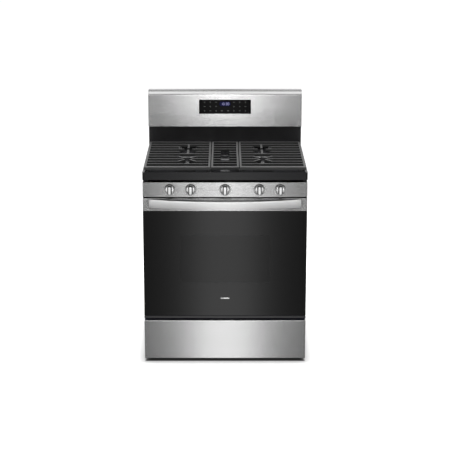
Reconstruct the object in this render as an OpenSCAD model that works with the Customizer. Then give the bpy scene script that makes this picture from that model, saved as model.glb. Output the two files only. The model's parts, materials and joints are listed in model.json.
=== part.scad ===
// Freestanding gas range: body, oven with drop-down door, storage drawer, five sealed burners
// under three cast grates, a leaning control panel with push-to-turn knobs, and a rear console.
// Frame: +Z up, -Y towards the cook, origin on the floor under the middle of the range. Millimetres.

/* [Overall] */
// Width across the cooktop, door and drawer
range_w = 759; // [630:1:920]
// Depth from the handle's front to the back of the body
range_d = 733; // [610:1:880]
// Floor to the rim of the cooktop
rim_h = 914; // [850:1:1100]
// Height of the console above the cooktop's rim
console_h = 276; // [220:1:340]

/* [Front] */
// Height of the drawer's front panel
drawer_h = 189; // [150:1:230]
// Floor to the bottom edge of the drawer's front
kick_h = 15; // [12:1:30]
// Thickness of the closed oven door
door_t = 38; // [34:1:46]
// Gap between the drawer's front and the door
door_gap = 10; // [8:1:14]
// Height of the leaning control panel
panel_h = 68; // [60:1:84]
// How far the panel's top stands behind its bottom edge
panel_lean = 5; // [3:1:28]
// Height of the cooktop's front lip
lip_h = 36; // [30:1:44]
// Height of the steel band across the top of the door
door_band_h = 59; // [50:1:80]

/* [Handle] */
// How far the handle's middle stands out from the door
handle_reach = 58; // [48:1:70]
// How much nearer the door the handle's ends are than its middle
handle_bow = 40; // [20:1:46]
// Height of the handle's band
handle_h = 43; // [30:1:50]
// Thickness of the handle's band
handle_t = 14; // [8:1:18]

/* [Oven] */
// Width of the side space between the cavity and the cabinet's outside
cavity_side = 79.5; // [70:0.5:110]
// Height of the oven floor above the bottom of the liner, for the burner between them
oven_floor_rise = 46; // [40:1:68]
// Space between the cavity and the back of the body, for the insulation and the gas pipe
cavity_rear = 131.5; // [120:0.5:160]
// Height between two rack levels
rack_pitch = 70; // [50:1:80]
// Width of the door's window
window_w = 440; // [300:1:480]
// Height of the door's window
window_h = 250; // [180:1:300]

/* [Drawer] */
// Width of the drawer's tub
tub_w = 620; // [450:1:640]
// Height of the drawer's tub
tub_h = 130; // [90:1:134]

/* [Cooktop] */
// Width of the grate in the middle
grate_mid_w = 128; // [110:1:150]
// Gap between two grates
grate_gap = 4; // [2:1:8]
// Height of the grates above the cooktop's rim
grate_rise = 20; // [16:1:30]
// Nominal distance between two grate bars
bar_pitch = 56; // [44:1:64]
// Width of a grate bar
bar_w = 10; // [7:0.5:14]
// Height of a grate bar
bar_h = 12; // [10:0.5:14]
// Distance of the side burners from the middle
burner_x = 178; // [165:1:200]
// Radius of the opening in the grates over a side burner
grate_eye_r = 70; // [60:1:76]
// Radius of the front right burner's head
burner_power_r = 44; // [36:1:46]
// Radius of the front left burner's head
burner_front_r = 40; // [34:1:46]
// Radius of the rear left burner's head
burner_rear_r = 34; // [28:1:42]
// Radius of the rear right burner's head
burner_simmer_r = 30; // [26:1:40]
// Half width of the oval middle burner
oval_half_w = 22; // [18:1:26]
// Distance from the oval burner's middle to the middle of its round ends
oval_half_l = 62; // [40:1:70]

/* [Knobs] */
// Distance of the outer knobs from the middle
knob_outer_x = 254; // [230:1:280]
// Distance of the inner knobs from the middle
knob_inner_x = 158; // [130:1:175]
// Radius of a knob's skirt
knob_r = 21.5; // [18:0.5:25]
// How far a knob stands out of the panel
knob_reach = 38; // [28:1:42]
// Travel of a knob when it is pushed in
knob_push = 3; // [2:0.5:4]
// Radius of a valve stem
stem_r = 3; // [2.5:0.1:4]

/* [Console] */
// Depth of the console
console_d = 71; // [55:1:90]
// Height of the steel face of the console
console_face_h = 177; // [140:1:200]
// Radius of the console's rounded top edge
console_r = 24; // [10:1:28]
// How far the black panel under the steel face is set back
console_recess = 24; // [6:1:30]
// Width of the display glass
display_w = 256; // [200:1:300]
// Height of the display glass
display_h = 70; // [50:1:90]

/* [Sheet and fits] */
// Thickness of the pressed sheets
sheet = 1.5; // [1:0.1:2]
// Radial clearance of a running fit
fit_run = 0.05; // [0.02:0.01:0.1]
// Radius of a levelling foot's stem
foot_r = 5; // [4:0.5:7]
// Radius of a door hinge pin
hinge_pin_r = 4; // [3:0.5:5]

/* [Hidden] */
$fn = 48;

// Stations from front to back
half_w = range_w / 2;
back_y = range_d / 2;
face_y = -range_d / 2 + handle_reach;      // front face of the door and the drawer
door_back_y = face_y + door_t;
seal_t = 8;                                // space between the door and the front frame
frame_y = door_back_y + seal_t;            // front face of the front frame
body_y = frame_y + sheet;                  // where the cabinet behind the front frame starts
console_y = back_y - console_d;            // front face of the console
cook_front_y = face_y + 6.5;               // front of the cooktop's lip
lower_y = console_y + console_recess;      // front of the black panel under the steel face
cook_back_y = lower_y - 0.5;
console_half = half_w;

// Stations from the floor up
base_z = 14;                               // underside of the base frame
side_z = 20;                               // lower edge of the side panels
drawer_top = kick_h + drawer_h;
door_z = drawer_top + door_gap;
lip_z = rim_h - lip_h;
panel_top = lip_z - 11;                    // the gap under the lip
panel_z = panel_top - panel_h;
door_top = panel_z - 6;
console_top = rim_h + console_h;
console_face_z = console_top - console_face_h;
display_z = console_face_z + console_face_h * 0.36;
frame_z = drawer_top + 2;                  // lower edge of the front frame
frame_top = panel_z - 2;

// Cabinet
side_out = half_w - 1;                     // outside of the side panels
side_in = side_out - sheet;
flange = 20;                               // width of a side panel's flanges
front_half = half_w - 1;                   // half width of the door, drawer and control panel

// Oven
cavity_half = half_w - cavity_side;
cavity_top = door_top - 55;
liner_z = frame_z + 16;                    // inside of the liner's bottom, under the bake burner
oven_floor_z = liner_z + oven_floor_rise;
cavity_back = back_y - cavity_rear;
floor_slots = floor((cavity_back - body_y - 60) / 84);
cavity_r = 20;                             // corner radius of the liner
wool_t = 24;                               // insulation around the liner
rib_w = 12;                                // how far a rack rib stands into the cavity
rib_h = 6;
rib_levels = floor((cavity_top - oven_floor_z - 130) / rack_pitch);
function rib_z(level) = oven_floor_z + 56 + level * rack_pitch;
rack_lower_level = 1;
rack_upper_level = rib_levels - 1;
rack_rod_r = 3;
rack_wire_r = 1.6;
rack_half = cavity_half - 1.5;             // half width of a rack, rod included
rack_front = body_y + 8;
rack_back = cavity_back - 10;
frame_hole_r = 16;                         // corner radius of the front frame's opening

// Door
glass_t = 4;
door_core_y = face_y + glass_t;            // back of the outer glass
pivot_y = face_y + 16;                     // hinge axis
pivot_z = door_z + 18;
arm_t = 6;
hinge_x = cavity_half + sheet + wool_t + arm_t / 2 + 1; // middle of a hinge arm
inner_panel_half = hinge_x - 5;
inner_panel_z = pivot_z + 6;
window_z = oven_floor_z + (cavity_top - oven_floor_z) / 2;
band_z = door_top - door_band_h;
bottom_trim_h = 12;
handle_top = door_top - 2;
handle_z = handle_top - handle_h;
handle_half = half_w - 29.5;
bow_r = (handle_half * handle_half + handle_bow * handle_bow) / (2 * handle_bow);
bow_y = face_y - handle_reach + bow_r;     // centre of the handle's curve

// Drawer
tub_y = face_y + door_t;                   // back of the drawer front's folded edges
tub_z = kick_h + 25;
tub_back = back_y - 166;
tub_half = tub_w / 2;
slide_t = 5.5;                             // thickness of the slide on the tub's side
slide_gap = 0.5;
slide_z = tub_z + 55;
slide_h = 16;

// Cooktop
rim_w = 18;
rim_back_w = 10;
basin_z = rim_h - 16;                      // top of the sunken part of the cooktop
well_r = 18;                               // hole in the cooktop under each burner
cup_r = 16;                                // burner cup that passes through the hole
grate_z = rim_h + grate_rise;              // top of the grates
bar_z = grate_z - bar_h;
grate_front = cook_front_y + 18;
grate_back = cook_back_y - 9.5;
front_bar_w = 28;
rear_bar_w = 18;
edge_bar_w = 9;                            // side bars of a grate
grate_out = half_w - 7.5;
grate_in = grate_mid_w / 2 + grate_gap;
bar_span = grate_back - rear_bar_w - grate_front - front_bar_w + bar_w;
bars = 2 * round(bar_span / bar_pitch / 2);
bar_step = bar_span / bars;
eye_bars = ceil((grate_eye_r + bar_w / 2) / bar_step); // to the first whole bar past an opening
function bar_y(i) = grate_front + front_bar_w - bar_w / 2 + i * bar_step;
front_eye = floor(bars * 0.3);             // the bar that runs over the front burners
burner_front_y = bar_y(front_eye);
burner_rear_y = bar_y(bars - front_eye);
mid_bar_y = bar_y(bars / 2);
burner_mid_y = mid_bar_y - bar_step / 2;
head_z = basin_z + 14;                     // top of a burner head, where its cap sits
cap_h = 7;
oval_eye = 20;                             // half width of the opening over the middle burner
finger_gap = 20;                           // from a burner's middle to the tips of the fingers
BURNERS = [[-burner_x, burner_rear_y, burner_rear_r], [-burner_x, burner_front_y, burner_front_r],
    [burner_x, burner_front_y, burner_power_r], [burner_x, burner_rear_y, burner_simmer_r]];
BURNER_POINTS = [[-burner_x, burner_rear_y], [-burner_x, burner_front_y], [0, burner_mid_y],
    [burner_x, burner_front_y], [burner_x, burner_rear_y]];

// Control panel: its face leans back, and everything on a knob's axis is placed in its frame
lean = atan2(panel_lean, panel_h);
panel_face_y = face_y + 2;
panel_mid = [0, panel_face_y + panel_lean / 2, panel_z + panel_h / 2];
KNOBS_X = [-knob_outer_x, -knob_inner_x, 0, knob_inner_x, knob_outer_x];
stem_hole_r = stem_r + 2;
stem_in = 56;                              // how far a stem reaches behind the panel's face
stem_out = 22;                             // and in front of it, inside the knob
valve_front = 28;
valve_back = 66;
valve_half = 11;
manifold_w = 22;
valve_port_z = panel_mid[2] + 16;          // top of a valve's outlet
tube_z = lip_z - 10;                       // level at which the burner tubes run
tube_r = 3.2;

// Gas inlet at the back
gas_x = 250;
gas_y = back_y - 52;
gas_z = 125;
inlet_r = 9.5;
inlet_l = 20;
pipe_r = 8;
service_half = 56;                         // half width of the opening around the inlet

// Feet
foot_pad_r = 16;
foot_x = side_in - 19;
foot_front_y = body_y + 30;
foot_rear_y = back_y - 36;
rail_t = 3;                                // thickness of the base frame
rail_h = 46;
rail_w = 34;

// Back panel
back_panel_z = base_z + rail_h + 2;
screw_r = 2;
rear_screw_points = concat(
    [for (x = [-side_in + 24, -120, 120, side_in - 24], z = [rail_h + base_z + 24, lip_z - 30]) [x, z]],
    [for (x = [-side_in + 40, side_in - 40], z = [lip_z + 30, console_top - 36]) [x, z]]);
gland_at = [-gas_x, gas_z];
gland_r = 9;

// ---------- helpers ----------
module box(x, y, z) {
    translate([x[0], y[0], z[0]])
        cube([x[1] - x[0], y[1] - y[0], z[1] - z[0]]);
}

module both_sides() {
    children();
    mirror([1, 0, 0]) children();
}

// A profile drawn in Y and Z, run along X
module along_x(x) {
    translate([x[0], 0, 0])
        rotate([90, 0, 90])
            linear_extrude(x[1] - x[0]) children();
}

// A profile drawn in X and Z, run along Y
module along_y(y) {
    translate([0, y[1], 0])
        rotate([90, 0, 0])
            linear_extrude(y[1] - y[0]) children();
}

module rod(a, b, r) {
    d = b - a;
    translate(a)
        rotate([0, acos(d[2] / norm(d)), atan2(d[1], d[0])])
            cylinder(r = r, h = norm(d));
}

function arc(c, r, from, to, n = 6) =
    [for (i = [0:n]) c + r * [cos(from + (to - from) * i / n), sin(from + (to - from) * i / n)]];

function round_box(x, y, r, n = 5) = concat(
    arc([x[1] - r, y[1] - r], r, 0, 90, n),
    arc([x[0] + r, y[1] - r], r, 90, 180, n),
    arc([x[0] + r, y[0] + r], r, 180, 270, n),
    arc([x[1] - r, y[0] + r], r, 270, 360, n));

function oval(r, half_l, n = 12) = concat(
    arc([0, half_l], r, 0, 180, n),
    arc([0, -half_l], r, 180, 360, n));

// Puts children in the control panel's frame: y = 0 is its face, -y is out towards the cook
module on_panel(x = 0) {
    translate(panel_mid + [x, 0, 0])
        rotate([-lean, 0, 0]) children();
}

// ---------- cabinet ----------
module side_panel() {
    color("dimgray") {
        difference() {
            box([side_out - flange, side_out], [body_y, back_y], [side_z, lip_z]);
            box([side_out - flange - 1, side_in], [body_y + sheet, back_y - sheet],
                [side_z - 1, lip_z - sheet]);
        }
    }
}

module back_panel() {
    slot = [44, 6];
    slots = floor((side_in * 2 - 160) / 70);
    color("silver") {
        difference() {
            box([-side_in, side_in], [back_y - 2 * sheet, back_y - sheet], [back_panel_z, lip_z - 2]);
            box([gas_x - service_half, gas_x + service_half], [back_y - 10, back_y],
                [gas_z - 50, gas_z + 60]);
            for (i = [0:slots - 1], row = [0:2])
                translate([(i - (slots - 1) / 2) * 70, 0, lip_z - 90 - row * 22])
                    box([-slot[0] / 2, slot[0] / 2], [back_y - 10, back_y], [0, slot[1]]);
            for (p = rear_screw_points)
                translate([p[0], back_y - 10, p[1]])
                    rotate([-90, 0, 0]) cylinder(r = screw_r + 0.2, h = 12);
            translate([gland_at[0], back_y - 10, gland_at[1]])
                rotate([-90, 0, 0]) cylinder(r = gland_r + 0.2, h = 12);
        }
    }
}

// Pan-head screws that hold the back panel and the console's rear cover
module rear_screws() {
    color("gainsboro") {
        for (p = rear_screw_points)
            translate([p[0], back_y - sheet, p[1]])
                rotate([90, 0, 0]) {
                    cylinder(r = screw_r, h = 7);
                    translate([0, 0, -1.4]) cylinder(r = 4.5, h = 1.4);
                }
    }
}

// Bushing in the back panel for the supply cord
module cord_gland() {
    color("black") {
        translate([gland_at[0], back_y - sheet, gland_at[1]])
            rotate([90, 0, 0])
                difference() {
                    union() {
                        translate([0, 0, -1.4]) cylinder(r = gland_r + 3, h = 1.4);
                        cylinder(r = gland_r, h = 16);
                    }
                    translate([0, 0, -3]) cylinder(r = 4.5, h = 24);
                }
    }
}

// Two side rails and two cross members, each an angle of sheet
module base_frame() {
    ends = [body_y + sheet + 0.5, back_y - 2 * sheet - 0.5];
    inner = side_in - rail_w;
    color("darkgray") {
        both_sides()
            difference() {
                union() {
                    box([inner, side_in], ends, [base_z, base_z + rail_t]);
                    box([side_in - rail_t, side_in], ends, [base_z, base_z + rail_h]);
                }
                for (y = [foot_front_y, foot_rear_y])
                    translate([foot_x, y, base_z - 1]) cylinder(r = foot_r + fit_run, h = rail_t + 2);
            }
        box([-inner, inner], [ends[0], ends[0] + 26], [base_z, base_z + rail_t]);
        box([-inner, inner], [ends[1] - 26, ends[1]], [base_z, base_z + rail_t]);
    }
}

module foot(x, y) {
    color("dimgray")
        translate([x, y, 0]) {
            cylinder(r = foot_pad_r, h = 8);
            translate([0, 0, 8]) cylinder(r = 9, h = base_z - 8, $fn = 6);
            cylinder(r = foot_r, h = base_z + 42);
        }
}

// ---------- oven ----------
module front_frame() {
    slot_half = arm_t / 2 + 1.5;
    color("dimgray") {
        difference() {
            along_y([frame_y, body_y])
                difference() {
                    polygon(round_box([-side_out, side_out], [frame_z, frame_top], 4));
                    polygon(round_box([-cavity_half, cavity_half], [oven_floor_z, cavity_top],
                        frame_hole_r));
                }
            both_sides()
                box([hinge_x - slot_half, hinge_x + slot_half], [frame_y - 1, body_y + 1],
                    [pivot_z - 9, pivot_z + 9]);
        }
    }
}

module oven_liner() {
    color("midnightblue") {
        difference() {
            along_y([body_y, cavity_back + sheet])
                polygon(round_box([-cavity_half - sheet, cavity_half + sheet],
                    [liner_z - sheet, cavity_top + sheet], cavity_r + sheet));
            along_y([body_y - 1, cavity_back])
                polygon(round_box([-cavity_half, cavity_half], [liner_z, cavity_top], cavity_r));
        }
        both_sides() {
            for (level = [0:rib_levels - 1])
                box([cavity_half - rib_w, cavity_half + sheet / 2], [body_y + 12, cavity_back - 30],
                    [rib_z(level) - rib_h, rib_z(level)]);
            box([cavity_half - 8, cavity_half + sheet / 2], [body_y + 12, cavity_back - 30],
                [oven_floor_z - sheet - 5, oven_floor_z - sheet]);
        }
    }
}

module oven_floor() {
    half = cavity_half - 2;
    color("midnightblue") {
        difference() {
            box([-half, half], [body_y + 2, cavity_back - 2], [oven_floor_z - sheet, oven_floor_z]);
            both_sides()
                for (i = [0:floor_slots - 1])
                    translate([half - 24, body_y + 50 + i * 84, oven_floor_z - 5])
                        linear_extrude(10) polygon(round_box([-3, 3], [0, 52], 2.9, 4));
        }
    }
}

module oven_insulation() {
    out = cavity_half + sheet + wool_t;
    color("lemonchiffon") {
        difference() {
            box([-out, out], [body_y + sheet, cavity_back + sheet + wool_t],
                [liner_z - sheet, cavity_top + sheet + wool_t]);
            box([-cavity_half - sheet, cavity_half + sheet], [body_y, cavity_back + sheet],
                [liner_z - 5, cavity_top + sheet]);
        }
    }
}

module door_seal() {
    in = 11;
    out = 20;
    color("gray") {
        along_y([door_back_y + 0.4, frame_y])
            difference() {
                polygon(round_box([-cavity_half - out, cavity_half + out],
                    [oven_floor_z - out, cavity_top + out], 24));
                polygon(round_box([-cavity_half - in, cavity_half + in],
                    [oven_floor_z - in, cavity_top + in], 16));
            }
    }
}

module oven_rack(level) {
    z = rib_z(level) + rack_rod_r + 0.3;
    x = rack_half - rack_rod_r;
    y0 = rack_front + rack_rod_r;
    y1 = rack_back - rack_rod_r;
    wires = 2 * floor((x - 8) / 26);
    color("silver") {
        for (side = [-1, 1])
            rod([side * x, y0, z], [side * x, y1, z], rack_rod_r);
        for (y = [y0, y1])
            rod([-x, y, z], [x, y, z], rack_rod_r);
        for (sx = [-1, 1], y = [y0, y1])
            translate([sx * x, y, z]) sphere(r = rack_rod_r + 0.25);
        for (i = [1:3])
            rod([-x, y0 + (y1 - y0) * i / 4, z - 0.5], [x, y0 + (y1 - y0) * i / 4, z - 0.5],
                rack_rod_r - 0.4);
        for (i = [1:wires - 1])
            rod([(2 * i / wires - 1) * x, y0, z + 1], [(2 * i / wires - 1) * x, y1, z + 1],
                rack_wire_r);
    }
}

module bake_burner() {
    z = (liner_z + oven_floor_z) / 2 - 2;
    color("silver") {
        rod([0, body_y + 60, z], [0, cavity_back - 40, z], 13);
        rod([0, cavity_back - 40, z], [0, cavity_back, z], 8);
        translate([0, body_y + 56, z]) rotate([-90, 0, 0]) cylinder(r = 16, h = 6);
    }
}

module broil_burner() {
    y0 = body_y + 120;
    color("silver") {
        along_y([y0, cavity_back - 90])
            polygon(round_box([-100, 100], [cavity_top - 34, cavity_top - 16], 8));
        for (x = [-70, 70], y = [y0 + 30, cavity_back - 120])
            translate([x, y, cavity_top - 20]) cylinder(r = 5, h = 20);
        rod([0, cavity_back - 95, cavity_top - 25], [0, cavity_back, cavity_top - 25], 7);
    }
}

module oven_lamp() {
    color("lightyellow")
        translate([-cavity_half + 90, cavity_back, cavity_top - 70])
            rotate([90, 0, 0])
                rotate_extrude()
                    polygon([[0, 0], [24, 0], [24, 4], [20, 6], [18, 20], [12, 25], [0, 26]]);
}

module temperature_probe() {
    color("silver")
        translate([cavity_half - 110, cavity_back, cavity_top - 60]) {
            box([-16, 16], [-sheet, 0], [-7, 7]);
            rotate([90, 0, 0]) cylinder(r = 2.6, h = 130);
        }
}

// ---------- cooktop ----------
module cooktop() {
    out = half_w;
    wall = [[-out, out], [cook_front_y, cook_back_y]];
    basin = [[-out + rim_w, out - rim_w], [cook_front_y + rim_w, cook_back_y - rim_back_w]];
    function grown(b, by) = [[b[0][0] - by, b[0][1] + by], [b[1][0] - by, b[1][1] + by]];
    under = grown(wall, -sheet);
    pocket = grown(basin, sheet);
    color("black") {
        difference() {
            translate([0, 0, lip_z]) linear_extrude(lip_h) polygon(round_box(wall[0], wall[1], 9));
            translate([0, 0, basin_z]) linear_extrude(lip_h) polygon(round_box(basin[0], basin[1], 10));
            translate([0, 0, lip_z - 1])
                linear_extrude(basin_z - sheet - lip_z + 1) polygon(round_box(under[0], under[1], 7.5));
            translate([0, 0, lip_z])
                difference() {
                    linear_extrude(lip_h - sheet) polygon(round_box(under[0], under[1], 7.5));
                    linear_extrude(lip_h) polygon(round_box(pocket[0], pocket[1], 10 + sheet));
                }
            for (p = BURNER_POINTS)
                translate([p[0], p[1], basin_z - 5]) cylinder(r = well_r, h = 10);
        }
    }
}

// Cup, flange and port ring of a round burner
module round_head(r) {
    rotate_extrude()
        polygon([[0, lip_z + 6], [cup_r, lip_z + 6], [cup_r, basin_z], [r + 7, basin_z],
            [r + 7, basin_z + 2], [r + 1, basin_z + 5], [r, head_z], [0, head_z]]);
}

module burner_heads() {
    color("lightgray") {
        for (b = BURNERS)
            translate([b[0], b[1], 0]) round_head(b[2]);
        translate([0, burner_mid_y, 0]) {
            translate([0, 0, lip_z + 6]) cylinder(r = cup_r, h = basin_z - lip_z - 6 + 1);
            translate([0, 0, basin_z]) linear_extrude(4) polygon(oval(oval_half_w + 5, oval_half_l));
            translate([0, 0, basin_z + 4])
                linear_extrude(head_z - basin_z - 4) polygon(oval(oval_half_w, oval_half_l));
        }
    }
}

module burner_caps() {
    color("black") {
        for (b = BURNERS)
            translate([b[0], b[1], head_z])
                rotate_extrude()
                    polygon(concat([[0, 0], [b[2] + 3, 0]],
                        arc([b[2] + 1, 2], 2, 0, 70, 3),
                        [[b[2] - 3, cap_h - 1], [b[2] - 9, cap_h], [0, cap_h]]));
        translate([0, burner_mid_y, head_z]) {
            linear_extrude(3) polygon(oval(oval_half_w + 3, oval_half_l));
            translate([0, 0, 3]) linear_extrude(cap_h - 3) polygon(oval(oval_half_w, oval_half_l));
        }
    }
}

// Ceramic spark electrodes beside the burners, each on the side away from the cook
module spark_electrodes() {
    color("white") {
        for (b = BURNERS)
            translate([b[0], b[1] + b[2] + 11, basin_z]) {
                cylinder(r = 3, h = 9);
                translate([0, 0, 9]) cylinder(r = 1, h = 3);
            }
        translate([oval_half_w + 9, burner_mid_y, basin_z]) {
            cylinder(r = 3, h = 9);
            translate([0, 0, 9]) cylinder(r = 1, h = 3);
        }
    }
}

// A bar of a grate at its full height
module bar(x, y) {
    box(x, y, [bar_z, grate_z]);
}

module grate_foot(x, y, w = 12) {
    box([x - w / 2, x + w / 2], [y - 5, y + 5], [basin_z, bar_z + 1]);
}

module grate_rim(x) {
    bar(x, [grate_front, grate_front + front_bar_w]);
    bar(x, [grate_back - rear_bar_w, grate_back]);
    bar([x[0], x[0] + edge_bar_w], [grate_front, grate_back]);
    bar([x[1] - edge_bar_w, x[1]], [grate_front, grate_back]);
}

// Fingers that reach in over a burner, from the edge of the opening around it
module fingers(angles) {
    for (a = angles)
        rotate([0, 0, a])
            box([finger_gap, grate_eye_r + 6], [-bar_w / 2, bar_w / 2], [bar_z, grate_z]);
}

module grate_side() {
    x = [grate_in, grate_out];
    eyes = [burner_front_y, burner_rear_y];
    color("#202020") {
        grate_rim(x);
        difference() {
            for (i = [1:bars - 1])
                bar([x[0] + 5, x[1] - 5], [bar_y(i) - bar_w / 2, bar_y(i) + bar_w / 2]);
            for (y = eyes)
                translate([burner_x, y, bar_z - 1]) cylinder(r = grate_eye_r, h = bar_h + 2);
        }
        translate([burner_x, burner_rear_y, 0]) fingers([0, 90, 180, 270]);
        translate([burner_x, burner_front_y, 0]) fingers([0, 52, 128, 180, 232, 308]);
        bar([burner_x - bar_w / 2, burner_x + bar_w / 2],
            [burner_rear_y + grate_eye_r, bar_y(bars - front_eye + eye_bars)]);
        bar([burner_x - bar_w / 2, burner_x + bar_w / 2],
            [mid_bar_y, burner_rear_y - grate_eye_r]);
        for (fx = [x[0] + edge_bar_w / 2, x[1] - 24], fy = [grate_front + 14, grate_back - 9])
            grate_foot(fx, fy);
        grate_foot(burner_x, grate_front + 14, 84);
        grate_foot(x[0] + edge_bar_w / 2, mid_bar_y);
        grate_foot(x[1] - 24, mid_bar_y);
    }
}

module grate_middle() {
    x = [-grate_mid_w / 2, grate_mid_w / 2];
    color("#202020") {
        grate_rim(x);
        difference() {
            for (i = [1:bars - 1])
                bar([x[0] + 5, x[1] - 5], [bar_y(i) - bar_w / 2, bar_y(i) + bar_w / 2]);
            translate([0, burner_mid_y, bar_z - 1])
                linear_extrude(bar_h + 2) polygon(oval(oval_eye, oval_half_l + 36));
        }
        for (fx = [x[0] + edge_bar_w / 2, x[1] - edge_bar_w / 2], fy = [grate_front + 14, grate_back - 9])
            grate_foot(fx, fy);
    }
}

// ---------- gas ----------
module gas_manifold() {
    middle = valve_back + manifold_w / 2;
    feed_y = panel_mid[1] + middle * cos(lean);
    feed_z = panel_mid[2] - middle * sin(lean);
    color("silver") {
        on_panel()
            box([-knob_outer_x - 30, knob_outer_x + 30], [valve_back, valve_back + manifold_w],
                [-manifold_w / 2, manifold_w / 2]);
        rod([gas_x - 24, feed_y, feed_z], [gas_x - 24, gas_y, feed_z], pipe_r);
        translate([gas_x - 24, gas_y, feed_z]) sphere(r = pipe_r + 3);
        rod([gas_x - 24, gas_y, feed_z], [gas_x - 24, gas_y, gas_z + 60], pipe_r);
        translate([gas_x - 24, gas_y, gas_z + 60]) sphere(r = pipe_r + 3);
        rod([gas_x - 24, gas_y, gas_z + 60], [gas_x, gas_y, gas_z + 60], pipe_r);
        translate([gas_x, gas_y, gas_z + 60]) sphere(r = pipe_r + 3);
        rod([gas_x, gas_y, gas_z + 20], [gas_x, gas_y, gas_z + 60], pipe_r);
    }
}

module gas_valves() {
    middle = (valve_front + valve_back) / 2;
    color("goldenrod") {
        for (x = KNOBS_X)
            difference() {
                union() {
                    on_panel(x)
                        box([-valve_half, valve_half], [valve_front, valve_back], [-13, 13]);
                    translate(panel_mid + [x, middle * cos(lean), -middle * sin(lean)])
                        cylinder(r = 6, h = valve_port_z - panel_mid[2] + middle * sin(lean));
                }
                on_panel(x)
                    translate([0, valve_front - 1, 0])
                        rotate([-90, 0, 0])
                            cylinder(r = stem_r + fit_run, h = stem_in + knob_push + 2 - valve_front);
            }
    }
}

// Aluminium tubes from the valves to the burners: knobs 1 and 5 feed the rear burners
module burner_tubes() {
    middle = (valve_front + valve_back) / 2;
    y = panel_mid[1] + middle * cos(lean);
    color("silver") {
        for (i = [0:4]) {
            p = BURNER_POINTS[i];
            x = KNOBS_X[i];
            rod([x, y, valve_port_z], [x, y, tube_z], tube_r);
            translate([x, y, tube_z]) sphere(r = tube_r + 1);
            rod([x, y, tube_z], [p[0], p[1], tube_z], tube_r);
            translate([p[0], p[1], tube_z]) sphere(r = tube_r + 1);
            rod([p[0], p[1], tube_z], [p[0], p[1], lip_z + 6], tube_r);
        }
    }
}

module pressure_regulator() {
    mouth = back_y - 6;
    color("gray") {
        difference() {
            union() {
                translate([gas_x, gas_y, gas_z - 20]) cylinder(r = 27, h = 34);
                translate([gas_x, gas_y, gas_z + 14]) cylinder(r = 14, h = 6, $fn = 6);
                translate([gas_x, gas_y, gas_z]) rotate([-90, 0, 0]) cylinder(r = 15, h = mouth - gas_y);
            }
            translate([gas_x, mouth - inlet_l, gas_z])
                rotate([-90, 0, 0]) cylinder(r = inlet_r, h = inlet_l + 1);
        }
    }
}

// ---------- control panel and knobs ----------
module control_panel() {
    b = body_y - 0.5;
    y0 = panel_face_y;
    y1 = panel_face_y + panel_lean;
    t = sheet;
    k = t / cos(lean);                     // the sheet's thickness measured along Y
    color("silver") {
        difference() {
            along_x([-front_half, front_half])
                polygon([[b, panel_z], [y0, panel_z], [y1, panel_top], [b, panel_top]]);
            along_x([-front_half + t, front_half - t])
                polygon([[b + 1, panel_z + t], [y0 + k + t * tan(lean), panel_z + t],
                    [y1 + k - t * tan(lean), panel_top - t], [b + 1, panel_top - t]]);
            for (x = KNOBS_X)
                on_panel(x)
                    translate([0, -3, 0]) rotate([-90, 0, 0]) cylinder(r = stem_hole_r, h = 10);
        }
    }
}

module knob_bezels() {
    color("gray") {
        for (x = KNOBS_X)
            on_panel(x)
                rotate([90, 0, 0])
                    rotate_extrude()
                        polygon([[knob_r + 1.5, 0], [knob_r + 5, 0], [knob_r + 4, 3], [knob_r + 1.5, 3]]);
    }
}

module valve_stem(i) {
    color("silver")
        on_panel(KNOBS_X[i]) {
            translate([0, stem_in, 0]) rotate([90, 0, 0]) cylinder(r = stem_r, h = stem_in + stem_out);
            translate([0, 22, 0]) rotate([90, 0, 0]) cylinder(r = stem_r + 3, h = 2);
        }
}

module knob(i) {
    skirt = [knob_push + 0.5, 12];         // the skirt's back and front, out from the panel
    color("silver")
        on_panel(KNOBS_X[i])
            rotate([90, 0, 0])
                difference() {
                    union() {
                        rotate_extrude()
                            polygon([[0, skirt[0]], [knob_r, skirt[0]], [knob_r, skirt[1] - 4],
                                [knob_r - 1.5, skirt[1] - 1], [knob_r - 5, skirt[1]], [0, skirt[1]]]);
                        intersection() {
                            box([-6.5, 6.5], [-knob_r, knob_r], [skirt[1] - 1, knob_reach]);
                            cylinder(r = knob_r - 0.4, h = knob_reach + 1);
                        }
                    }
                    translate([0, 0, skirt[0] - 1])
                        cylinder(r = stem_r + fit_run, h = stem_out + 2 - skirt[0]);
                }
}

// ---------- console ----------

// The console's outline seen from the side, taken in by t
function console_profile(t, back) = concat(
    [[back, console_face_z + t], [console_y + t, console_face_z + t]],
    arc([console_y + console_r, console_top - console_r], console_r - t, 180, 90, 8),
    [[back, console_top - t]]);

module console_face() {
    color("silver") {
        difference() {
            along_x([-console_half, console_half]) polygon(console_profile(0, back_y));
            along_x([-console_half + sheet, console_half - sheet])
                polygon(console_profile(sheet, back_y + 1));
            box([-display_w / 2, display_w / 2], [console_y - 1, console_y + 3],
                [display_z, display_z + display_h]);
        }
    }
}

module console_lower_panel() {
    z = [lip_z + 0.5, console_face_z];
    x = console_half - 1;
    vents = floor(2 * x / 34) - 2;
    color("black") {
        difference() {
            box([-x, x], [lower_y, back_y - 0.5], z);
            box([-x + sheet, x - sheet], [lower_y + sheet, back_y], [z[0] + sheet, z[1] - sheet]);
            for (i = [0:vents - 1])
                translate([(i - (vents - 1) / 2) * 34, 0, rim_h + 8])
                    box([-12, 12], [lower_y - 1, lower_y + 3], [0, 4]);
        }
    }
}

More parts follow.
